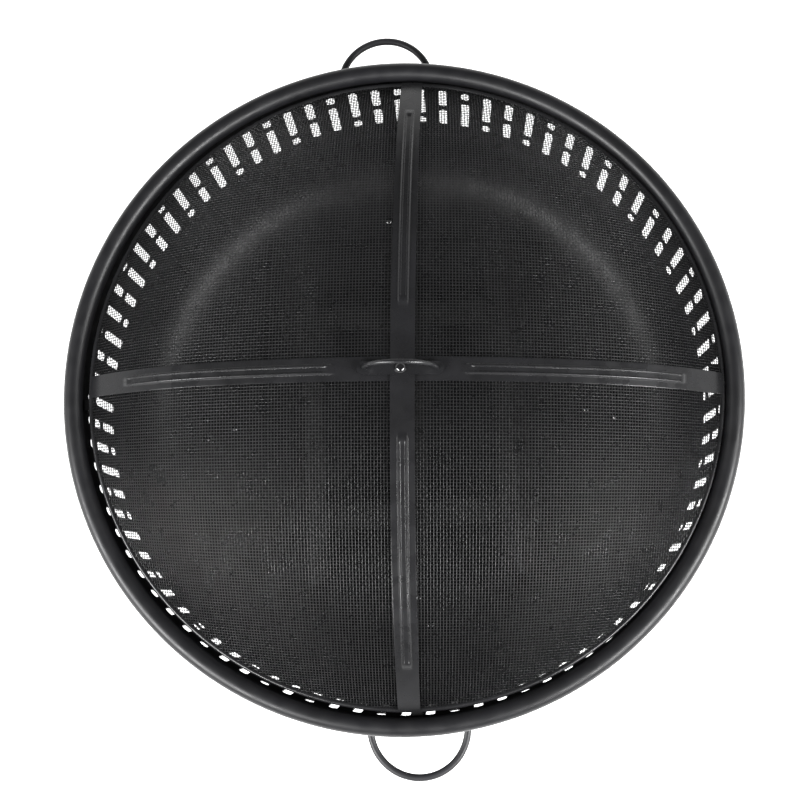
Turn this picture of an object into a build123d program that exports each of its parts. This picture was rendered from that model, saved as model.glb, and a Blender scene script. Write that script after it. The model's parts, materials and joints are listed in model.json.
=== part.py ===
from build123d import *
import os
from math import asin, atan2, cos, degrees, hypot, radians, sin, sqrt

# Round steel fire pit with a slotted wall, a dished bowl, four legs, a log grate
# and a lift-off spark screen.  Millimetres, +Z up.  The origin is on the ground
# under the pit's axis, and the side handles are on +Y and -Y.

os.makedirs("parts", exist_ok=True)

# ---- Pit: driving sizes ----
rim_outer_diameter = 762.0     # 30 in across the rolled rim
rim_height = 460.0             # ground to the rim tube's centre
rim_tube_diameter = 21.0
rim_tube_wall = 1.5
rim_lip = 0.5                  # how far the rim tube stands inside the wall

wall_thickness = 1.5
wall_height = 160.0            # rim centre down to the wall's lower edge
seam_bead_radius = 0.8 * wall_thickness

slot_columns = 84
slot_width = 10.0
slot_top_depth = 25.0          # rim centre down to the top of the slots
slot_field_height = 107.0      # top of the upper slot to bottom of the lower one
slot_bridge = 9.0              # metal between the two slots of a column
short_slot = 22.0
slot_mirror_column = 15        # the pattern runs the opposite way on each side of it

bowl_thickness = 1.5
skirt_height = 30.0            # the bowl's upright edge
lap_length = 15.0              # how far the wall stands in the skirt
lap_clearance = 0.1
knuckle_radius = 85.0          # inside bend between skirt and dish
dish_depth = 115.0             # skirt's lower end down to the bowl's lowest point

# ---- Legs ----
bolt_clear_of_leg = 8.4        # bolt centre line to the leg tube's surface
bolt_spread_angle = 40.5       # the two outer bolts, from the outward direction
bolt_diameter = 6.0
bolt_hole_clearance = 0.3
bolt_head_diameter = 12.0
bolt_head_height = 3.6
head_sphere_radius = 6.8       # of the domed heads
washer_diameter = 12.0
washer_thickness = 1.2
nut_across_flats = 10.0
nut_height = 5.0
thread_tail = 3.0              # thread that shows past the nut
thread_clearance = 0.05
stack_gap = 0.02               # between curved faces that are clamped together

bracket_thickness = 3.0
bracket_end_margin = 12.0      # bolt centre lines to the bracket's ends
bracket_side_margin = 12.5     # and to its sides
bracket_corner = 12.0

leg_tube_diameter = 25.4
leg_tube_wall = 1.5
leg_top_radius = 256.0         # leg centre line under the bowl
leg_foot_radius = 316.0        # leg centre line at the ground
leg_upper_run = 42.0
leg_lower_run = 48.0
leg_bend_radius = 36.0

foot_cap_wall = 3.5
foot_cap_height = 30.0
foot_cap_floor = 6.0
foot_cap_clearance = 0.1
foot_cap_edge = 1.5

# ---- Side handles ----
handle_wire_diameter = 8.0
handle_depth = 45.0            # rim centre down to the handle's plane
handle_straight = 18.0         # straight ends between the wall and the arc

# ---- Lid seat ----
rest_width = 12.0
rest_thickness = 1.5
rest_reach = 15.0
rest_leg = 22.0
rest_bend = 2.5
rest_wall_gap = 0.1
moving_gap = 0.3               # between bodies that rest on each other

# ---- Grate ----
grate_height = 95.0            # bowl's lowest point up to the bars' ridges
grate_bar_length = 425.0
grate_bar_leg = 30.0           # leg of the angle steel
grate_bar_thickness = 3.0
grate_bar_spacing = 132.0
grate_ridge_radius = 4.0
cross_bar_offset = 130.0       # cross bars in front of and behind the middle
cross_bar_width = 30.0
cross_bar_thickness = 4.0
cross_bar_overhang = 7.0
cross_bar_bend = 8.0

# ---- Lid ----
hoop_rod_diameter = 6.0
lid_gap = 4.0                  # all round, between hoop and rim when centred
lid_turn = -3.0                # degrees, as it was set down
lid_shift_direction = 14.0     # degrees
lid_shift = lid_gap - 0.4      # pushed over until it almost touches the rim
dome_height = 108.5            # hoop centre up to the mesh at the crown
dome_crown_radius = 750.0
dome_crown_half_width = 182.0
mesh_thickness = 0.65

strap_width = 25.4
strap_thickness = 2.0
strap_mesh_gap = 0.3
strap_stack_gap = 0.3          # the crossing straps curve away from each other
upper_strap_front = 7.5        # the upper strap bows sideways: its middle line's place
upper_strap_middle = 4.0       # at the front end, at the crown and at the back end,
upper_strap_back = 10.5        # beside the lid's centre
rib_width = 12.0
rib_height = 1.8
rib_start = 66.0               # along the radius, from the lid's centre
rib_stop = 318.0

lid_screw_shift = 2.0          # screw and handle, beside the lid's centre
lid_handle_length = 90.0
lid_handle_width = 14.0
lid_handle_thickness = 2.0
lid_loop_wire = 5.0
lid_loop_radius = 37.5
fender_washer_diameter = 22.0
fender_washer_thickness = 1.2

# ---- Worked-out places ----
rim_ring_radius = rim_outer_diameter / 2 - rim_tube_diameter / 2
rim_inner_radius = rim_ring_radius - rim_tube_diameter / 2
wall_inner_radius = rim_inner_radius + rim_lip
wall_outer_radius = wall_inner_radius + wall_thickness
wall_bottom = rim_height - wall_height
slot_pitch = 360.0 / slot_columns

skirt_inner_radius = wall_outer_radius + lap_clearance
skirt_top = wall_bottom + lap_length
knuckle_level = skirt_top - skirt_height
knuckle_centre_radius = skirt_inner_radius - knuckle_radius
bowl_bottom = knuckle_level - dish_depth
# The dish is the arc that meets the knuckle tangentially and is level on the axis.
dish_radius = (knuckle_centre_radius**2 + dish_depth**2 - knuckle_radius**2) / (
    2 * (dish_depth - knuckle_radius)
)
dish_centre = bowl_bottom + dish_radius
dish_half_angle = degrees(asin(knuckle_centre_radius / (dish_radius - knuckle_radius)))
bracket_top_radius = dish_radius + bowl_thickness + stack_gap
bracket_under_radius = bracket_top_radius + bracket_thickness

bolt_circle_radius = leg_tube_diameter / 2 + bolt_clear_of_leg
bolt_outer_place = leg_top_radius + bolt_circle_radius * cos(radians(bolt_spread_angle))
bolt_inner_place = leg_top_radius - bolt_circle_radius
bolt_half_spread = bolt_circle_radius * sin(radians(bolt_spread_angle))
# A flat bolt head on the hollow dish touches it only with its edge.
head_rise = bolt_head_diameter**2 / (8 * dish_radius) + stack_gap

leg_angles = {"right": 0.0, "back": 90.0, "left": 180.0, "front": 270.0}


def upright(angle, centre=(0.0, 0.0), level=0.0):
    """Upright plane: local X points outwards at the angle, local Y points up."""
    turn = radians(angle)
    return Plane(
        origin=(centre[0], centre[1], level),
        x_dir=(cos(turn), sin(turn), 0),
        z_dir=(sin(turn), -cos(turn), 0),
    )


def dish_height(radius):
    """Height of the dish's inner face at a distance from the axis."""
    return dish_centre - sqrt(dish_radius**2 - radius**2)


def dish_plane(angle, outward, sideways, drop=0.0):
    """Plane square to the dish, its normal into the bowl, `drop` below the inner face."""
    turn = radians(angle)
    x = outward * cos(turn) - sideways * sin(turn)
    y = outward * sin(turn) + sideways * cos(turn)
    up = sqrt(dish_radius**2 - x**2 - y**2)
    stretch = (dish_radius + drop) / dish_radius
    return Plane(
        origin=(x * stretch, y * stretch, dish_centre - up * stretch),
        z_dir=(-x, -y, up),
    )


def leg_bolt_planes(drop=0.0):
    """One plane for each leg bolt, three bolts to a leg."""
    places = (
        (bolt_outer_place, bolt_half_spread),
        (bolt_outer_place, -bolt_half_spread),
        (bolt_inner_place, 0.0),
    )
    return [
        dish_plane(angle, outward, sideways, drop)
        for angle in leg_angles.values()
        for outward, sideways in places
    ]


def save(piece, name):
    """Label a finished piece and write it as its own node."""
    piece.part.label = name
    export_step(piece.part, f"parts/{name}.step")


# ==== Pit body ====

with BuildPart() as rim_ring:
    with BuildSketch(Plane.XZ):
        with Locations((rim_ring_radius, rim_height)):
            Circle(rim_tube_diameter / 2)
            Circle(rim_tube_diameter / 2 - rim_tube_wall, mode=Mode.SUBTRACT)
    revolve(axis=Axis.Z)
save(rim_ring, "rim_ring")

medium_slot = (slot_field_height - slot_bridge) / 2
long_slot = slot_field_height - slot_bridge - short_slot
upper_slots = (medium_slot, long_slot, short_slot)
slot_top = rim_height - slot_top_depth
slot_bottom = slot_top - slot_field_height

# The wall is a rolled strip.  Its top edge is cut to the rim tube and welded to it.
with BuildPart() as side_band:
    with BuildSketch(Plane.XZ):
        with Locations((wall_inner_radius + wall_thickness / 2, wall_bottom + wall_height / 2)):
            Rectangle(wall_thickness, wall_height)
        with Locations((rim_ring_radius, rim_height)):
            Circle(rim_tube_diameter / 2, mode=Mode.SUBTRACT)
    revolve(axis=Axis.Z)
    with BuildSketch(Plane.XY.offset(wall_bottom)):
        with Locations((0, wall_inner_radius)):
            Circle(seam_bead_radius)
    seam_top = rim_height - hoop_rod_diameter / 2 - rest_leg - rest_thickness
    extrude(amount=seam_top - wall_bottom - 2 * rest_bend)
    for column in range(slot_columns):
        step = abs(column - slot_mirror_column)
        upper = upper_slots[min(step, slot_columns - step) % 3]
        lower = slot_field_height - slot_bridge - upper
        turn = radians((column + 0.5) * slot_pitch)
        face = Plane(
            origin=(wall_inner_radius * cos(turn), wall_inner_radius * sin(turn), 0),
            x_dir=(-sin(turn), cos(turn), 0),
            z_dir=(cos(turn), sin(turn), 0),
        )
        with BuildSketch(face):
            with Locations((0, slot_top - upper / 2)):
                SlotOverall(upper, slot_width, rotation=90)
            with Locations((0, slot_bottom + lower / 2)):
                SlotOverall(lower, slot_width, rotation=90)
    extrude(amount=3 * wall_thickness, both=True, mode=Mode.SUBTRACT)
save(side_band, "side_band")

with BuildPart() as fire_bowl:
    with BuildSketch(Plane.XZ):
        with BuildLine():
            knuckle = (knuckle_centre_radius, knuckle_level)
            sweep_angle = 90 - dish_half_angle
            inner_skirt = Line((skirt_inner_radius, skirt_top), (skirt_inner_radius, knuckle_level))
            CenterArc(knuckle, knuckle_radius, 0, -sweep_angle)
            inner_dish = CenterArc(
                (0, dish_centre), dish_radius, -90 + dish_half_angle, -dish_half_angle
            )
            outer_dish = CenterArc(
                (0, dish_centre), dish_radius + bowl_thickness, -90, dish_half_angle
            )
            CenterArc(knuckle, knuckle_radius + bowl_thickness, -sweep_angle, sweep_angle)
            outer_skirt = Line(
                (skirt_inner_radius + bowl_thickness, knuckle_level),
                (skirt_inner_radius + bowl_thickness, skirt_top),
            )
            Line(inner_dish @ 1, outer_dish @ 0)
            Line(outer_skirt @ 1, inner_skirt @ 0)
        make_face()
    revolve(axis=Axis.Z)
    with BuildSketch(*leg_bolt_planes()):
        Circle(bolt_diameter / 2 + bolt_hole_clearance)
    extrude(amount=3 * bowl_thickness, both=True, mode=Mode.SUBTRACT)
save(fire_bowl, "fire_bowl")

bracket_middle = (bolt_outer_place + bolt_inner_place) / 2
bracket_length = bolt_outer_place - bolt_inner_place + 2 * bracket_end_margin
bracket_width = 2 * (bolt_half_spread + bracket_side_margin)

for side, angle in leg_angles.items():
    turn = radians(angle)
    bracket_spot = (bracket_middle * cos(turn), bracket_middle * sin(turn), 0)

    # Pressed plate that follows the underside of the dish.
    with BuildPart() as leg_bracket:
        with BuildSketch(Plane.XY.offset(bowl_bottom - bracket_thickness - bowl_thickness)):
            with Locations(Location(bracket_spot, (0, 0, angle))):
                RectangleRounded(bracket_length, bracket_width, bracket_corner)
        extrude(amount=dish_depth)
        with Locations((0, 0, dish_centre)):
            Sphere(bracket_under_radius, mode=Mode.INTERSECT)
            Sphere(bracket_top_radius, mode=Mode.SUBTRACT)
        with BuildSketch(*leg_bolt_planes()):
            Circle(bolt_diameter / 2 + bolt_hole_clearance)
        extrude(amount=3 * (bowl_thickness + bracket_thickness), both=True, mode=Mode.SUBTRACT)
    save(leg_bracket, f"leg_bracket_{side}")

    # Bent tube, its top cut to the bracket and welded there.
    with BuildPart() as leg:
        knee = dish_height(leg_top_radius) - bracket_thickness - leg_upper_run
        with BuildLine(upright(angle)) as leg_path:
            FilletPolyline(
                (leg_top_radius, dish_height(leg_top_radius)),
                (leg_top_radius, knee),
                (leg_foot_radius, foot_cap_floor + leg_lower_run),
                (leg_foot_radius, foot_cap_floor),
                radius=leg_bend_radius,
            )
        with BuildSketch(Plane(origin=leg_path.line @ 0, z_dir=leg_path.line % 0)):
            Circle(leg_tube_diameter / 2)
            Circle(leg_tube_diameter / 2 - leg_tube_wall, mode=Mode.SUBTRACT)
        sweep()
        with Locations((0, 0, dish_centre)):
            Sphere(bracket_under_radius, mode=Mode.SUBTRACT)
    save(leg, f"leg_{side}")

    with BuildPart() as foot_cap:
        foot_spot = (leg_foot_radius * cos(turn), leg_foot_radius * sin(turn))
        bore_radius = leg_tube_diameter / 2 + foot_cap_clearance
        with BuildSketch():
            with Locations(foot_spot):
                Circle(bore_radius + foot_cap_wall)
        extrude(amount=foot_cap_height)
        fillet(foot_cap.edges().group_by(Axis.Z)[0], foot_cap_edge)
        fillet(foot_cap.edges().group_by(Axis.Z)[-1], foot_cap_edge)
        with BuildSketch(Plane.XY.offset(foot_cap_floor)):
            with Locations(foot_spot):
                Circle(bore_radius)
        extrude(amount=foot_cap_height, mode=Mode.SUBTRACT)
    save(foot_cap, f"foot_cap_{side}")

# Bolt heads are inside the bowl; washers and nuts are under the leg brackets.
washer_drop = bracket_under_radius + stack_gap - dish_radius
nut_drop = washer_drop + washer_thickness + stack_gap
bolt_length = head_rise + nut_drop + nut_height + thread_tail

# The domed head of every bolt and of the lid's screw.
with BuildPart() as domed_head:
    with BuildSketch():
        Circle(bolt_head_diameter / 2)
    extrude(amount=bolt_head_height)
    with Locations((0, 0, bolt_head_height - head_sphere_radius)):
        Sphere(head_sphere_radius, mode=Mode.INTERSECT)

with BuildPart() as leg_bolts:
    with BuildSketch(*leg_bolt_planes(-head_rise)):
        Circle(bolt_diameter / 2)
    extrude(amount=-bolt_length)
    with Locations(*leg_bolt_planes(-head_rise)):
        add(domed_head.part)
save(leg_bolts, "leg_bolts")

with BuildPart() as leg_washers:
    with BuildSketch(*leg_bolt_planes(washer_drop)):
        Circle(washer_diameter / 2)
        Circle(bolt_diameter / 2 + bolt_hole_clearance, mode=Mode.SUBTRACT)
    extrude(amount=-washer_thickness)
save(leg_washers, "leg_washers")

with BuildPart() as leg_nuts:
    with BuildSketch(*leg_bolt_planes(nut_drop)):
        RegularPolygon(nut_across_flats / 2, 6, major_radius=False)
        Circle(bolt_diameter / 2 + thread_clearance, mode=Mode.SUBTRACT)
    extrude(amount=-nut_height)
save(leg_nuts, "leg_nuts")

# The handles' ends meet the wall halfway between two columns of slots.
handle_level = rim_height - handle_depth
handle_half_width = wall_outer_radius * sin(radians(2 * slot_pitch))
handle_root = wall_outer_radius * cos(radians(2 * slot_pitch))
handle_arc_level = handle_root + handle_straight

for side, out in (("back", 1), ("front", -1)):
    with BuildPart() as side_handle:
        with BuildLine(Plane.XY.offset(handle_level)) as handle_path:
            first = Line(
                (-handle_half_width, out * (handle_root - handle_wire_diameter)),
                (-handle_half_width, out * handle_arc_level),
            )
            arc = ThreePointArc(
                first @ 1,
                (0, out * (handle_arc_level + handle_half_width)),
                (handle_half_width, out * handle_arc_level),
            )
            Line(arc @ 1, (handle_half_width, out * (handle_root - handle_wire_diameter)))
        with BuildSketch(Plane(origin=handle_path.line @ 0, z_dir=handle_path.line % 0)):
            Circle(handle_wire_diameter / 2)
        sweep()
        with Locations((0, 0, handle_level)):
            Cylinder(wall_outer_radius, 2 * handle_wire_diameter, mode=Mode.SUBTRACT)
    save(side_handle, f"side_handle_{side}")

rest_level = rim_height - hoop_rod_diameter / 2 - moving_gap
for side, angle in leg_angles.items():
    with BuildPart() as lid_rest:
        back_face = sqrt(wall_inner_radius**2 - (rest_width / 2) ** 2) - rest_wall_gap
        with BuildSketch(upright(angle)):
            with BuildLine():
                Polyline(
                    (back_face, rest_level - rest_leg),
                    (back_face, rest_level),
                    (back_face - rest_reach, rest_level),
                    (back_face - rest_reach, rest_level - rest_thickness),
                    (back_face - rest_thickness, rest_level - rest_thickness),
                    (back_face - rest_thickness, rest_level - rest_leg),
                    close=True,
                )
            make_face()
        extrude(amount=rest_width / 2, both=True)
        outward = Axis((0, 0, 0), upright(angle).x_dir)
        bends = lid_rest.edges().filter_by(Axis((0, 0, 0), upright(angle).z_dir))
        outer_bend = bends.group_by(Axis.Z)[-1].sort_by(outward)[-1]
        fillet(outer_bend, rest_bend)
    save(lid_rest, f"lid_rest_{side}")

# ==== Grate body ====

ridge_level = bowl_bottom + grate_height
bar_drop = grate_bar_leg / sqrt(2)
bar_heel = grate_bar_thickness / sqrt(2)
cross_bar_top = ridge_level - bar_drop - bar_heel

for side, place in (("left", -1), ("centre", 0), ("right", 1)):
    with BuildPart() as grate_bar:
        with BuildSketch(upright(0, (place * grate_bar_spacing, 0), ridge_level)):
            with BuildLine():
                Polyline(
                    (0, 0),
                    (bar_drop, -bar_drop),
                    (bar_drop - bar_heel, -bar_drop - bar_heel),
                    (0, -2 * bar_heel),
                    (bar_heel - bar_drop, -bar_drop - bar_heel),
                    (-bar_drop, -bar_drop),
                    close=True,
                )
            make_face()
        extrude(amount=grate_bar_length / 2, both=True)
        fillet(grate_bar.edges().filter_by(Axis.Y).group_by(Axis.Z)[-1], grate_ridge_radius)
    save(grate_bar, f"grate_bar_{side}")

foot_spread = grate_bar_spacing + bar_drop + cross_bar_overhang
foot_far = hypot(foot_spread, cross_bar_offset + cross_bar_width / 2)
foot_level = dish_height(foot_far) + moving_gap

for side, place in (("front", -1), ("back", 1)):
    near_edge = place * cross_bar_offset - cross_bar_width / 2
    with BuildPart() as grate_cross:
        with BuildLine(upright(0, (0, near_edge))):
            outline = FilletPolyline(
                (-foot_spread, foot_level),
                (-foot_spread, cross_bar_top),
                (foot_spread, cross_bar_top),
                (foot_spread, foot_level),
                radius=cross_bar_bend,
            )
        make_brake_formed(cross_bar_thickness, cross_bar_width, line=outline, side=Side.RIGHT)
    save(grate_cross, f"grate_cross_{side}")

# ==== Lid body ====

hoop_ring_radius = rim_inner_radius - lid_gap - hoop_rod_diameter / 2
shift_turn = radians(lid_shift_direction)
lid_centre = (lid_shift * cos(shift_turn), lid_shift * sin(shift_turn))
lid_axis = Axis((lid_centre[0], lid_centre[1], 0), (0, 0, 1))
lid_side_plane = upright(lid_turn, lid_centre, rim_height)

# The dome is a wide crown arc with a shoulder arc that runs tangentially to the hoop.
crown_angle = asin(dome_crown_half_width / dome_crown_radius)
crown_centre = dome_height - dome_crown_radius
crown_end = (
    dome_crown_half_width,
    crown_centre + dome_crown_radius * cos(crown_angle),
)
to_hoop = (hoop_ring_radius - crown_end[0], -crown_end[1])
shoulder_radius = -(to_hoop[0] ** 2 + to_hoop[1] ** 2) / (
    2 * (to_hoop[0] * sin(crown_angle) + to_hoop[1] * cos(crown_angle))
)
shoulder_centre = (
    crown_end[0] - shoulder_radius * sin(crown_angle),
    crown_end[1] - shoulder_radius * cos(crown_angle),
)
hoop_angle = atan2(hoop_ring_radius - shoulder_centre[0], -shoulder_centre[1])


def dome_outline(low, high, start=0.0, stop=hoop_angle):
    """Half-section between two offsets from the mesh, from one dome angle to another."""
    join = degrees(crown_angle)
    first = degrees(start)
    last = degrees(stop)
    crown = (0, crown_centre)
    with BuildLine(Plane.XY) as outline:
        top = CenterArc(crown, dome_crown_radius + high, 90 - first, first - join)
        top_end = CenterArc(shoulder_centre, shoulder_radius + high, 90 - join, join - last)
        low_end = CenterArc(shoulder_centre, shoulder_radius + low, 90 - last, last - join)
        low_start = CenterArc(crown, dome_crown_radius + low, 90 - join, join - first)
        Line(top_end @ 1, low_end @ 0)
        Line(low_start @ 1, top @ 0)
    return outline.edges()


with BuildPart() as lid_hoop:
    with BuildSketch(lid_side_plane):
        with Locations((hoop_ring_radius, 0)):
            Circle(hoop_rod_diameter / 2)
    revolve(axis=lid_axis)
save(lid_hoop, "lid_hoop")

screw_hole_radius = bolt_diameter / 2 + bolt_hole_clearance
lid_plan_plane = Plane(
    origin=(lid_centre[0], lid_centre[1], rim_height),
    x_dir=(cos(radians(lid_turn)), sin(radians(lid_turn)), 0),
    z_dir=(0, 0, 1),
)
# The handle, its screw and the holes for it are placed on this plane at the crown.
lid_top_plane = Plane(
    origin=lid_plan_plane.from_local_coords((lid_screw_shift, 0, dome_height)),
    x_dir=lid_plan_plane.x_dir,
    z_dir=(0, 0, 1),
)

# The woven mesh as one thin shell, its edge held by the hoop.
with BuildPart() as lid_mesh:
    with BuildSketch(lid_side_plane):
        make_face(dome_outline(-mesh_thickness / 2, mesh_thickness / 2))
        with Locations((hoop_ring_radius, 0)):
            Circle(hoop_rod_diameter / 2, mode=Mode.SUBTRACT)
    revolve(axis=lid_axis)
    with BuildSketch(lid_top_plane):
        Circle(screw_hole_radius)
    extrude(amount=dome_height, both=True, mode=Mode.SUBTRACT)
save(lid_mesh, "lid_mesh")

strap_base = mesh_thickness / 2 + strap_mesh_gap
strap_lifts = {"lower": strap_base, "upper": strap_base + strap_thickness + strap_stack_gap}
rib_start_angle = asin(rib_start / dome_crown_radius)
rib_stop_angle = asin((rib_stop - shoulder_centre[0]) / shoulder_radius)

strap_plans = {
    "lower": ((-hoop_ring_radius, 0), (hoop_ring_radius, 0)),
    "upper": (
        (upper_strap_front, -hoop_ring_radius),
        (upper_strap_middle, 0),
        (upper_strap_back, hoop_ring_radius),
    ),
}


def strap_middle(level):
    """Middle line of a strap in plan."""
    with BuildLine(Plane.XY) as middle_line:
        if level == "lower":
            Line(*strap_plans[level])
        else:
            ThreePointArc(*strap_plans[level])
    return middle_line.edges()


# A strap is the part of a dome shell that its plan cuts out; its ribs likewise.
for level, low in strap_lifts.items():
    with BuildPart() as strap:
        with BuildSketch(lid_side_plane):
            rib_base = low + strap_thickness / 2
            rib_top = low + strap_thickness + rib_height
            make_face(dome_outline(rib_base, rib_top, rib_start_angle, rib_stop_angle))
        revolve(axis=lid_axis)
        with BuildSketch(lid_plan_plane):
            trace(strap_middle(level), line_width=rib_width)
        extrude(amount=2 * dome_height, mode=Mode.INTERSECT)
        with BuildSketch(lid_side_plane):
            make_face(dome_outline(low, low + strap_thickness))
        revolve(axis=lid_axis)
        with BuildSketch(lid_plan_plane.offset(-dome_height)):
            trace(strap_middle(level), line_width=strap_width)
        extrude(amount=3 * dome_height, mode=Mode.INTERSECT)
        with Locations((lid_centre[0], lid_centre[1], rim_height)):
            Torus(hoop_ring_radius, hoop_rod_diameter / 2, mode=Mode.SUBTRACT)
        with BuildSketch(lid_top_plane):
            Circle(screw_hole_radius)
        extrude(amount=dome_height, both=True, mode=Mode.SUBTRACT)
    save(strap, f"strap_{level}")

handle_base_low = strap_lifts["upper"] + strap_thickness
handle_base_top = handle_base_low + lid_handle_thickness

with BuildPart() as lid_handle_base:
    with BuildSketch(lid_top_plane.offset(handle_base_low)):
        SlotOverall(lid_handle_length, lid_handle_width)
        Circle(screw_hole_radius, mode=Mode.SUBTRACT)
    extrude(amount=lid_handle_thickness)
save(lid_handle_base, "lid_handle_base")

with BuildPart() as lid_handle_loop:
    with BuildSketch(lid_top_plane.offset(handle_base_top)):
        with Locations((lid_loop_radius, 0)):
            Circle(lid_loop_wire / 2)
    loop_plane = lid_top_plane.offset(handle_base_top)
    revolve(axis=Axis(loop_plane.origin, -loop_plane.y_dir), revolution_arc=180)
save(lid_handle_loop, "lid_handle_loop")

fender_top = -(mesh_thickness / 2) - strap_mesh_gap
nut_top = fender_top - fender_washer_thickness
screw_end = nut_top - nut_height - thread_tail

with BuildPart() as lid_screw:
    with BuildSketch(lid_top_plane.offset(screw_end)):
        Circle(bolt_diameter / 2)
    extrude(amount=handle_base_top - screw_end)
    with Locations(lid_top_plane.offset(handle_base_top)):
        add(domed_head.part)
save(lid_screw, "lid_screw")

with BuildPart() as lid_washer:
    with BuildSketch(lid_top_plane.offset(fender_top)):
        Circle(fender_washer_diameter / 2)
        Circle(screw_hole_radius, mode=Mode.SUBTRACT)
    extrude(amount=-fender_washer_thickness)
save(lid_washer, "lid_washer")

with BuildPart() as lid_nut:
    with BuildSketch(lid_top_plane.offset(nut_top)):
        RegularPolygon(nut_across_flats / 2, 6, major_radius=False)
        Circle(bolt_diameter / 2 + thread_clearance, mode=Mode.SUBTRACT)
    extrude(amount=-nut_height)
save(lid_nut, "lid_nut")
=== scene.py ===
# %% [markdown]
# # A steel fire pit with a mesh spark screen
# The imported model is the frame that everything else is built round. It gives each node's
# place in metres: the ground is at zero, the pit's axis is Z and the side handles lie on Y.

# %% Load the frame
import json
import math
import bmesh
import bpy
from mathutils import Matrix, Vector


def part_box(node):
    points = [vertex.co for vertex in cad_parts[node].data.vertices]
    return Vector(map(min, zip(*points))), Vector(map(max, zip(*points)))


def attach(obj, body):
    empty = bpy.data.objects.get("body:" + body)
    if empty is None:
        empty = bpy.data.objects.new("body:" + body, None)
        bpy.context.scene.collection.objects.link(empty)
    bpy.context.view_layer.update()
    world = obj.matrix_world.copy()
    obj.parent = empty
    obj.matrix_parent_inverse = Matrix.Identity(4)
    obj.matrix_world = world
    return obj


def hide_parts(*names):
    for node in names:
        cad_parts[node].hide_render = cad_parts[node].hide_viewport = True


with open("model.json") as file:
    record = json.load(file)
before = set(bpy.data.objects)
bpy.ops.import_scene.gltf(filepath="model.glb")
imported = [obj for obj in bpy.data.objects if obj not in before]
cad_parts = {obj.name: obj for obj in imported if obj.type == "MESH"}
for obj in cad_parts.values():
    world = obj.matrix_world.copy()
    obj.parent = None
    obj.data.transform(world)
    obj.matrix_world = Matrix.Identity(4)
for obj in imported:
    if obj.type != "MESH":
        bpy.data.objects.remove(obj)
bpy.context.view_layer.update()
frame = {"nodes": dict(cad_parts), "record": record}
nodes = frame["nodes"]
MM = 0.001

# %% [markdown]
# ## Places that the later cells share
# The rim, the hoop and the dome are round, so a few numbers read from the nodes' boxes
# place everything else. The pit stands a little turned in the view, and the loose lid is
# turned the other way on its seat, so both turns have a name.

# %% Sizes read from the frame
rim_low, rim_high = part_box("rim_ring")
hoop_low, hoop_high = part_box("lid_hoop")
mesh_low, mesh_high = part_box("lid_mesh")

RIM_LEVEL = (rim_low.z + rim_high.z) / 2
RIM_TUBE = (rim_high.z - rim_low.z) / 2
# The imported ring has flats, so the spun one takes the nearer side of its box.
RIM_RING = min(rim_high.x, -rim_low.x, rim_high.y, -rim_low.y) - RIM_TUBE
HOOP_ROD = (hoop_high.z - hoop_low.z) / 2
HOOP_RING = (hoop_high.x - hoop_low.x) / 2 - HOOP_ROD
LID_CENTRE = Vector(((hoop_low.x + hoop_high.x) / 2, (hoop_low.y + hoop_high.y) / 2,
                     (hoop_low.z + hoop_high.z) / 2))
LID_TURN = math.radians(-3.0)
VIEW_TURN = math.radians(-2.9)
MESH_SHELL = 0.65 * MM
DOME_HEIGHT = mesh_high.z - MESH_SHELL / 2 - LID_CENTRE.z
print("rim ring", round(RIM_RING, 4), "hoop ring", round(HOOP_RING, 4),
      "dome", round(DOME_HEIGHT, 4))

# %% [markdown]
# ## The camera
# The view is from above, a little to the front and to the right, so that the far wall's
# slots show and the near wall hides its own. A matrix built from the line of sight and a
# chosen up direction places the camera, because a track constraint can't hold the roll.

# %% Camera
EYE = Vector((0.062, -0.218, 1.347))      # from the rim's centre
AIM = Vector((-0.0002, -0.0151, 0.0))
FOCAL_SHARE = 1221 / 800                  # focal length over the picture's width
SENSOR = 36.0


def look_at(eye, aim, up):
    """Matrix of a camera at eye that looks at aim, with up towards the top of the picture."""
    back = (eye - aim).normalized()
    right = up.cross(back).normalized()
    turn = Matrix((right, back.cross(right), back)).transposed()
    return Matrix.Translation(eye) @ turn.to_4x4()


view = Matrix.Translation((0, 0, RIM_LEVEL)) @ Matrix.Rotation(VIEW_TURN, 4, "Z")
camera_data = bpy.data.cameras.new("camera")
camera_data.sensor_width = SENSOR
camera_data.lens = FOCAL_SHARE * SENSOR
camera_data.clip_end = 20.0
camera = bpy.data.objects.new("camera", camera_data)
camera.matrix_world = look_at(view @ EYE, view @ AIM, view.to_3x3() @ Vector((0, 1, 0)))
bpy.context.scene.collection.objects.link(camera)
bpy.context.scene.camera = camera
print("camera at", [round(c, 3) for c in camera.matrix_world.translation])

# %% [markdown]
# ## Helpers for finishes
# Paint makers give colours as screen values, but a shader adds light in linear values, so
# one function converts them. A second one adds a shader node with its settings and links,
# which keeps each finish short enough to read in one go.

# %% Colour and node helpers


def linear(hex_colour):
    """Linear RGBA of an sRGB colour such as '#1a1a1c'."""
    parts = [int(hex_colour[i:i + 2], 16) / 255 for i in (1, 3, 5)]
    return [c / 12.92 if c <= 0.04045 else ((c + 0.055) / 1.055) ** 2.4 for c in parts] + [1.0]


def add(tree, kind, settings=None, links=None):
    """Adds a node. Settings are its own properties or its inputs; links go to its inputs."""
    made = tree.nodes.new(kind)
    for key, value in (settings or {}).items():
        if isinstance(key, str) and hasattr(made, key):
            setattr(made, key, value)
        else:
            made.inputs[key].default_value = value
    for key, socket in (links or {}).items():
        tree.links.new(socket, made.inputs[key])
    return made


def new_material(name):
    """An empty material with its shader and a texture coordinate node."""
    material = bpy.data.materials.new(name)
    material.use_nodes = True
    tree = material.node_tree
    tree.nodes.clear()
    shader = add(tree, "ShaderNodeBsdfPrincipled")
    add(tree, "ShaderNodeOutputMaterial", {}, {"Surface": shader.outputs["BSDF"]})
    place = add(tree, "ShaderNodeTexCoord").outputs["Object"]
    return material, tree, shader, place


print("helpers ready")

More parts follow.
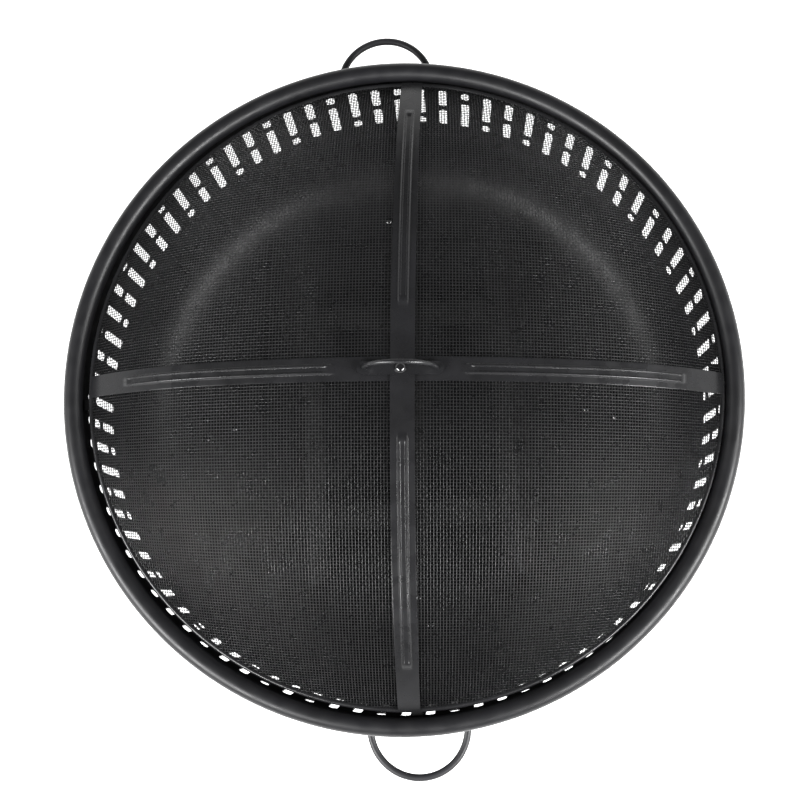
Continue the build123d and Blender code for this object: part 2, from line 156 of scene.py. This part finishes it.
# %% [markdown]
# ## Black paint on steel
# Nearly all of the pit is mild steel under sprayed black paint that is cured to stand
# heat. Sprayed paint dries with a fine grain, lies a little thinner and greyer in some
# places than others, and picks up pale dust. Each of these is a noise in object space: a
# broad one for the tone, a middling one for the gloss and a fine one for the grain. The
# real grain is about half a millimetre; it is drawn about twice as coarse, so that it
# still shows at arm's length.

# %% Paint


def painted_steel(name, dark, pale, roughness, grain, depth, dust=0.0, shine=0.5):
    """Sprayed black paint. Grain is the grain size and depth its height, in metres."""
    material, tree, shader, place = new_material(name)
    tone = add(tree, "ShaderNodeTexNoise", {"Scale": 14.0, "Detail": 5.0, "Roughness": 0.6},
               {"Vector": place})
    gloss = add(tree, "ShaderNodeTexNoise", {"Scale": 60.0, "Detail": 3.0}, {"Vector": place})
    fine = add(tree, "ShaderNodeTexNoise", {"Scale": 1 / grain, "Detail": 2.0}, {"Vector": place})
    colour = add(tree, "ShaderNodeValToRGB", {}, {"Fac": tone.outputs["Fac"]})
    colour.color_ramp.elements[0].position = 0.32
    colour.color_ramp.elements[0].color = linear(dark)
    colour.color_ramp.elements[1].position = 0.72
    colour.color_ramp.elements[1].color = linear(pale)
    specks = add(tree, "ShaderNodeMapRange",
                 {"From Min": 0.66, "From Max": 0.8, "To Min": 0.0, "To Max": dust},
                 {"Value": fine.outputs["Fac"]})
    dusty = add(tree, "ShaderNodeMix", {"data_type": "RGBA", 7: linear("#55544f")},
                {0: specks.outputs["Result"], 6: colour.outputs["Color"]})
    tree.links.new(dusty.outputs[2], shader.inputs["Base Color"])
    rough = add(tree, "ShaderNodeMapRange",
                {"From Min": 0.3, "From Max": 0.7, "To Min": roughness - 0.05,
                 "To Max": roughness + 0.07}, {"Value": gloss.outputs["Fac"]})
    tree.links.new(rough.outputs["Result"], shader.inputs["Roughness"])
    bump = add(tree, "ShaderNodeBump", {"Strength": 0.6, "Distance": depth},
               {"Height": fine.outputs["Fac"]})
    tree.links.new(bump.outputs["Normal"], shader.inputs["Normal"])
    shader.inputs["Specular IOR Level"].default_value = shine
    return material


rim_paint = painted_steel("satin_heat_paint_on_tube", "#0e0e10", "#151518", 0.42, 1.0 * MM,
                          0.04 * MM)
bowl_paint = painted_steel("heat_paint_on_sheet", "#050506", "#09090b", 0.40, 1.2 * MM, 0.03 * MM,
                           dust=0.06, shine=0.30)
leg_paint = painted_steel("powder_coat_on_tube", "#141415", "#1b1b1d", 0.48, 1.4 * MM, 0.09 * MM)
handle_paint = painted_steel("satin_paint_on_wire", "#1e1e20", "#29292c", 0.42, 0.9 * MM, 0.03 * MM)
lid_paint = painted_steel("powder_coat_on_strip", "#151516", "#1e1e20", 0.27, 1.1 * MM, 0.03 * MM)
grate_paint = painted_steel("matt_paint_on_angle", "#070707", "#0d0d0d", 0.44, 1.5 * MM, 0.06 * MM,
                            dust=0.06, shine=0.28)
wire_coat = painted_steel("coated_mesh_wire", "#19191a", "#232324", 0.30, 0.8 * MM, 0.02 * MM)
print("paints:", [m.name for m in bpy.data.materials][-7:])

# %% [markdown]
# ## Black zinc and rubber
# The bolts, nuts and washers are black zinc plate: glossy, nearly black and faintly cloudy.
# The foot caps are moulded rubber: nearly black, without shine, and slightly pebbled.

# %% Black zinc and rubber


def zinc_plate(name):
    """Glossy black zinc plating, a little cloudy."""
    material, tree, shader, place = new_material(name)
    cloud = add(tree, "ShaderNodeTexVoronoi", {"Scale": 1 / (3 * MM)}, {"Vector": place})
    shade = add(tree, "ShaderNodeValToRGB", {}, {"Fac": cloud.outputs["Color"]})
    shade.color_ramp.elements[0].color = linear("#0c0c0d")
    shade.color_ramp.elements[1].color = linear("#161618")
    tree.links.new(shade.outputs["Color"], shader.inputs["Base Color"])
    rough = add(tree, "ShaderNodeMapRange", {"To Min": 0.06, "To Max": 0.12},
                {"Value": cloud.outputs["Distance"]})
    tree.links.new(rough.outputs["Result"], shader.inputs["Roughness"])
    shader.inputs["Specular IOR Level"].default_value = 1.0
    return material


def moulded_rubber(name):
    """Matt black rubber with a pebbled skin."""
    material, tree, shader, place = new_material(name)
    pebble = add(tree, "ShaderNodeTexNoise", {"Scale": 1 / (1.5 * MM), "Detail": 2.0},
                 {"Vector": place})
    shade = add(tree, "ShaderNodeValToRGB", {}, {"Fac": pebble.outputs["Fac"]})
    shade.color_ramp.elements[0].color = linear("#0e0e0e")
    shade.color_ramp.elements[1].color = linear("#1c1b1a")
    tree.links.new(shade.outputs["Color"], shader.inputs["Base Color"])
    bump = add(tree, "ShaderNodeBump", {"Strength": 0.5, "Distance": 0.15 * MM},
               {"Height": pebble.outputs["Fac"]})
    tree.links.new(bump.outputs["Normal"], shader.inputs["Normal"])
    shader.inputs["Roughness"].default_value = 0.82
    return material


zinc = zinc_plate("black_zinc_plate")
rubber = moulded_rubber("moulded_rubber")
print("black zinc and rubber ready")

# %% [markdown]
# ## Finishes on the CAD pieces
# The CAD pieces whose shape is already right keep their mesh and only get a finish. The
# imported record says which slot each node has, so one table from slot to finish is enough.

# %% Dress the nodes
FINISHES = {
    "rim_paint": rim_paint, "bowl_paint": bowl_paint, "leg_paint": leg_paint,
    "handle_paint": handle_paint, "grate_paint": grate_paint, "mesh_coating": wire_coat,
    "lid_paint": lid_paint, "black_zinc": zinc, "foot_rubber": rubber,
}
for entry in frame["record"]["subparts"]:
    piece = nodes[entry["node"]]
    piece.data.materials.clear()
    piece.data.materials.append(FINISHES[entry["material_slot"]])

# %% [markdown]
# ## Turning a bmesh into a piece
# Every new piece ends the same way: doubles merged, normals outwards, smooth shading, a
# finish, and a body to ride on.

# %% Finish a piece
MERGE_DISTANCE = 0.001 * MM


def settle(bm, name, material, body, stands_for):
    """Makes a piece from a bmesh whose points are already in their final place."""
    bmesh.ops.remove_doubles(bm, verts=bm.verts, dist=MERGE_DISTANCE)
    bmesh.ops.recalc_face_normals(bm, faces=bm.faces)
    mesh = bpy.data.meshes.new(name)
    bm.to_mesh(mesh)
    bm.free()
    return settle_mesh(mesh, name, material, body, stands_for)


def settle_mesh(mesh, name, material, body, stands_for):
    """Makes a piece from a finished mesh."""
    mesh.materials.clear()
    mesh.materials.append(material)
    mesh.shade_smooth()
    piece = bpy.data.objects.new(name, mesh)
    bpy.context.scene.collection.objects.link(piece)
    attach(piece, body)
    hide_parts(*stands_for)
    print(name, len(mesh.vertices), "points")
    return piece


# %% [markdown]
# ## Rim and hoop
# The rim is a rolled tube and the lid's hoop a bent rod. Both are a circle spun about an
# upright axis. The CAD ones are the same size, but a spun ring has evenly spaced faces
# along and across, and so it shades without flats.

# %% Rings
RING_STEPS = 240
RIM_SIDES = 40
ROD_SIDES = 20


def ring(name, centre, radius, tube, around, material, body, stands_for):
    """A round bar bent into a level ring."""
    bm = bmesh.new()
    section = Matrix.Translation(centre + Vector((radius, 0, 0)))
    section @= Matrix.Rotation(math.pi / 2, 4, "X")
    bmesh.ops.create_circle(bm, segments=around, radius=tube, matrix=section)
    bmesh.ops.spin(bm, geom=bm.edges[:] + bm.verts[:], cent=centre, axis=(0, 0, 1),
                   angle=2 * math.pi, steps=RING_STEPS, use_merge=True)
    return settle(bm, name, material, body, stands_for)


rim_centre = Vector((0, 0, RIM_LEVEL))
ring("rolled_rim", rim_centre, RIM_RING, RIM_TUBE, RIM_SIDES, rim_paint, "pit",
     ["rim_ring"])
ring("hoop", LID_CENTRE, HOOP_RING, HOOP_ROD, ROD_SIDES, lid_paint, "lid",
     ["lid_hoop"])

# %% [markdown]
# ## The dome
# The spark screen's dome is a wide crown arc that runs into a tighter shoulder arc at the
# hoop. The wires and the straps follow the same two arcs.

# %% Dome
CROWN_RADIUS = 0.750
CROWN_HALF_WIDTH = 0.182
crown_angle = math.asin(CROWN_HALF_WIDTH / CROWN_RADIUS)
crown_end = Vector((CROWN_HALF_WIDTH, DOME_HEIGHT - CROWN_RADIUS * (1 - math.cos(crown_angle))))
crown_normal = Vector((math.sin(crown_angle), math.cos(crown_angle)))
to_hoop = Vector((HOOP_RING, 0)) - crown_end
SHOULDER_RADIUS = -to_hoop.length_squared / (2 * to_hoop.dot(crown_normal))
shoulder_centre = crown_end - SHOULDER_RADIUS * crown_normal
hoop_angle = math.atan2(HOOP_RING - shoulder_centre.x, -shoulder_centre.y)
lid_place = Matrix.Translation(LID_CENTRE) @ Matrix.Rotation(LID_TURN, 4, "Z")
print("shoulder radius", round(SHOULDER_RADIUS, 3),
      "slope at hoop", round(math.degrees(hoop_angle), 1))

# %% [markdown]
# ## The woven mesh
# The screen is plain-woven wire: each wire goes over one and under the next, so it is not
# a sheet with holes but hundreds of wavy wires. A picture of a grid would lose the small
# shadows between them. The flat weave is pressed into the dome, so its pitch stays the
# same along the surface and looks tighter where the dome is steep. Each wire is a line
# with one point per crossing, alternately a wire's radius up and down, and the curve's own
# bevel gives it its thickness. Four sides are enough for a wire this thin.

# %% Weave
MESH_PITCH = 3.4 * MM
WIRE_RADIUS = 0.42 * MM
CROWN_ARC = crown_angle * CROWN_RADIUS
WIRE_END_GAP = 0.5 * MM         # between a wire's end and the hoop's centre line
MESH_REACH = CROWN_ARC + (hoop_angle - crown_angle) * SHOULDER_RADIUS - WIRE_END_GAP


def dome_spot(distance, lift):
    """Radius and height at an arc distance from the crown, lifted square to the dome."""
    if distance < CROWN_ARC:
        angle = distance / CROWN_RADIUS
        centre, radius = Vector((0, DOME_HEIGHT - CROWN_RADIUS)), CROWN_RADIUS
    else:
        angle = crown_angle + (distance - CROWN_ARC) / SHOULDER_RADIUS
        centre, radius = shoulder_centre, SHOULDER_RADIUS
    return centre + (radius + lift) * Vector((math.sin(angle), math.cos(angle)))


def draped(u, v, lift):
    """Place on the dome of a point of the flat weave, in the lid's own frame."""
    distance = max(math.hypot(u, v), MERGE_DISTANCE)
    spot = dome_spot(distance, lift)
    return Vector((u * spot.x / distance, v * spot.x / distance, spot.y))


def woven_wires(name, along_x, side):
    """Half of the wires that run one way: those on one side of the middle."""
    data = bpy.data.curves.new(name, "CURVE")
    data.dimensions = "3D"
    data.bevel_depth = WIRE_RADIUS
    data.bevel_resolution = 0
    last = int(MESH_REACH / MESH_PITCH)
    for row in (range(last) if side > 0 else range(-last, 0)):
        offset = (row + 0.5) * MESH_PITCH
        reach = math.sqrt(MESH_REACH ** 2 - offset ** 2)
        count = int(reach / MESH_PITCH - 0.5)
        crossings = range(-count - 1, count + 1)
        stations = [-reach] + [(c + 0.5) * MESH_PITCH for c in crossings] + [reach]
        waves = [0] + [1 if (row + c) % 2 == 0 else -1 for c in crossings] + [0]
        spline = data.splines.new("POLY")
        spline.points.add(len(stations) - 1)
        for point, station, wave in zip(spline.points, stations, waves):
            lift = (wave if along_x else -wave) * WIRE_RADIUS
            flat = (station, offset) if along_x else (offset, station)
            point.co = (*(lid_place @ draped(*flat, lift)), 1)
    return mesh_from_curve(data)


def mesh_from_curve(data):
    """The curve's bevelled shape as a mesh."""
    holder = bpy.data.objects.new(data.name, data)
    bpy.context.scene.collection.objects.link(holder)
    mesh = bpy.data.meshes.new_from_object(holder)
    bpy.data.objects.remove(holder)
    return mesh


for name, along_x, side in (("wires_x_front", True, -1), ("wires_x_back", True, 1),
                            ("wires_y_left", False, -1), ("wires_y_right", False, 1)):
    settle_mesh(woven_wires(name, along_x, side), "mesh_" + name, wire_coat, "lid",
                ["lid_mesh"])

# %% [markdown]
# ## The pressed straps
# Two steel straps cross over the mesh. Each arm has a rib pressed up along its middle, with
# a shallow channel in it, which stiffens the arm and catches the light as thin lines. The
# upper strap was welded on a little beside the middle and bows sideways, so its middle line
# is an arc in plan. A flat grid is bent to the dome point by point, and then given its
# thickness.

# %% Straps
STRAP_WIDTH = 25.4 * MM
STRAP_THICKNESS = 2.0 * MM
RIB_HALF_WIDTH = 6.0 * MM
RIB_FLANK = 2.0 * MM
RIB_HEIGHT = 1.8 * MM
RIB_START = 66 * MM
RIB_STOP = 318 * MM
RIB_TAPER = 6 * MM
CHANNEL_HALF_WIDTH = 3.2 * MM
CHANNEL_FLANK = 1.2 * MM
CHANNEL_DEPTH = 1.0 * MM
CHANNEL_MARGIN = 8 * MM          # the channel begins and ends inside the rib
STRAP_ROWS_ALONG = 300
STRAP_ROWS_ACROSS = 56
EVEN_SHARE = 0.3                # share of the rows' spacing that is even across the strap
STRAP_END_GAP = 1.5 * MM
STRAP_EDGE = 0.35 * MM
STRAP_LIFTS = {"strap_lower": 0.3 * MM, "strap_upper": 2.6 * MM}
# Middle line's place beside the lid's centre: at the near end, the crown and the far end.
STRAP_PLACES = {"strap_lower": (0.0, 0.0, 0.0), "strap_upper": (-7.5 * MM, -4.0 * MM, -10.5 * MM)}


def smooth_step(low, high, value):
    """Rises smoothly from 0 at low to 1 at high."""
    share = min(max((value - low) / (high - low), 0.0), 1.0)
    return share * share * (3 - 2 * share)


def plateau(value, low, high, flank):
    """1 between low and high, and 0 outside them, with flanks that lie inside."""
    return smooth_step(low, low + flank, value) * (1 - smooth_step(high - flank, high, value))


def rib_lift(distance, across):
    """How far the pressed rib stands up, less the shallow channel along its middle."""
    rib = plateau(distance, RIB_START, RIB_STOP, RIB_TAPER)
    rib *= plateau(across, -RIB_HALF_WIDTH, RIB_HALF_WIDTH, RIB_FLANK)
    channel = plateau(distance, RIB_START + CHANNEL_MARGIN, RIB_STOP - CHANNEL_MARGIN,
                      RIB_TAPER / 2)
    channel *= plateau(across, -CHANNEL_HALF_WIDTH, CHANNEL_HALF_WIDTH, CHANNEL_FLANK)
    return RIB_HEIGHT * rib - CHANNEL_DEPTH * channel


def pressed_strap(node, turn):
    """A strap over the dome, in place of a CAD one."""
    near, middle, far = STRAP_PLACES[node]
    reach = MESH_REACH - STRAP_END_GAP
    bm = bmesh.new()
    bmesh.ops.create_grid(bm, x_segments=STRAP_ROWS_ALONG, y_segments=STRAP_ROWS_ACROSS, size=1.0)
    for vert in bm.verts:
        along = vert.co.x * reach
        # Rows lie closer together towards the middle, where the rib is.
        across = STRAP_WIDTH / 2 * (EVEN_SHARE * vert.co.y + (1 - EVEN_SHARE) * vert.co.y ** 3)
        share = along / reach
        beside = middle + share * (far - near) / 2 + share ** 2 * ((far + near) / 2 - middle)
        lift = MESH_SHELL / 2 + STRAP_LIFTS[node] + STRAP_THICKNESS + rib_lift(abs(along), across)
        vert.co = draped(along, across + beside, lift)
    bm.transform(lid_place @ Matrix.Rotation(turn, 4, "Z"))
    piece = settle(bm, "pressed_" + node, lid_paint, "lid", [node])
    wall = piece.modifiers.new("sheet", "SOLIDIFY")
    wall.thickness = STRAP_THICKNESS
    wall.offset = -1.0
    edge = piece.modifiers.new("edge", "BEVEL")
    edge.width = STRAP_EDGE
    edge.segments = 2
    edge.limit_method = "ANGLE"
    return piece


pressed_strap("strap_lower", 0.0)
pressed_strap("strap_upper", math.pi / 2)

# %% [markdown]
# ## Studio
# A pale floor and plain soft light, as in a catalogue: a white sweep round the horizon that
# the paint mirrors faintly, a dim ceiling, and two long soft lamps, to the left and right of
# the front, that draw out the curves and the pressed ribs.

# %% Floor and light
FLOOR_SIZE = 30.0
SWEEP_TOP = 0.36          # sine of the height angle where the white sweep ends
CEILING_TONE = 0.14


def pale_floor():
    """A large pale floor, hardly textured."""
    bm = bmesh.new()
    bmesh.ops.create_grid(bm, x_segments=1, y_segments=1, size=FLOOR_SIZE / 2)
    mesh = bpy.data.meshes.new("floor")
    bm.to_mesh(mesh)
    bm.free()
    material, tree, shader, place = new_material("pale_floor")
    soft = add(tree, "ShaderNodeTexNoise", {"Scale": 3.0, "Detail": 2.0}, {"Vector": place})
    shade = add(tree, "ShaderNodeValToRGB", {}, {"Fac": soft.outputs["Fac"]})
    shade.color_ramp.elements[0].color = linear("#f3f3f3")
    shade.color_ramp.elements[1].color = linear("#f8f8f8")
    tree.links.new(shade.outputs["Color"], shader.inputs["Base Color"])
    tree.links.new(shade.outputs["Color"], shader.inputs["Emission Color"])
    shader.inputs["Emission Strength"].default_value = 0.8
    shader.inputs["Roughness"].default_value = 0.9
    mesh.materials.append(material)
    floor = bpy.data.objects.new("floor", mesh)
    bpy.context.scene.collection.objects.link(floor)


def surround():
    """A white sweep round the horizon under a dim ceiling."""
    world = bpy.data.worlds.new("surround")
    world.use_nodes = True
    tree = world.node_tree
    toward = add(tree, "ShaderNodeTexCoord").outputs["Generated"]
    height = add(tree, "ShaderNodeSeparateXYZ", {}, {"Vector": toward}).outputs["Z"]
    tone = add(tree, "ShaderNodeValToRGB", {}, {"Fac": height})
    tone.color_ramp.elements[0].position = SWEEP_TOP / 2
    tone.color_ramp.elements[0].color = (1.0, 1.0, 1.0, 1.0)
    tone.color_ramp.elements[1].position = SWEEP_TOP
    tone.color_ramp.elements[1].color = (CEILING_TONE, CEILING_TONE, CEILING_TONE, 1.0)
    tree.links.new(tone.outputs["Color"], tree.nodes["Background"].inputs["Color"])
    return world


def soft_lamp(name, place, target, length, height, power):
    """A long soft lamp that faces a point."""
    data = bpy.data.lights.new(name, "AREA")
    data.shape = "RECTANGLE"
    data.size = length
    data.size_y = height
    data.energy = power
    lamp = bpy.data.objects.new(name, data)
    lamp.matrix_world = look_at(Vector(place), Vector(target), Vector((0.0, 0.3, 1.0)))
    bpy.context.scene.collection.objects.link(lamp)


pale_floor()
bpy.context.scene.world = surround()
bpy.context.scene.view_settings.view_transform = "Standard"
STRIP_PLACE = Vector((1.58, -1.00, 1.80))
STRIP_LENGTH = 1.9
STRIP_HEIGHT = 0.42
STRIP_TARGET = (0, 0, 0.4)
STRIP_POWER = 95
for name, side in (("right_strip", 1), ("left_strip", -1)):
    soft_lamp(name, STRIP_PLACE * Vector((side, 1, 1)), STRIP_TARGET, STRIP_LENGTH, STRIP_HEIGHT,
              STRIP_POWER)
print("studio ready")
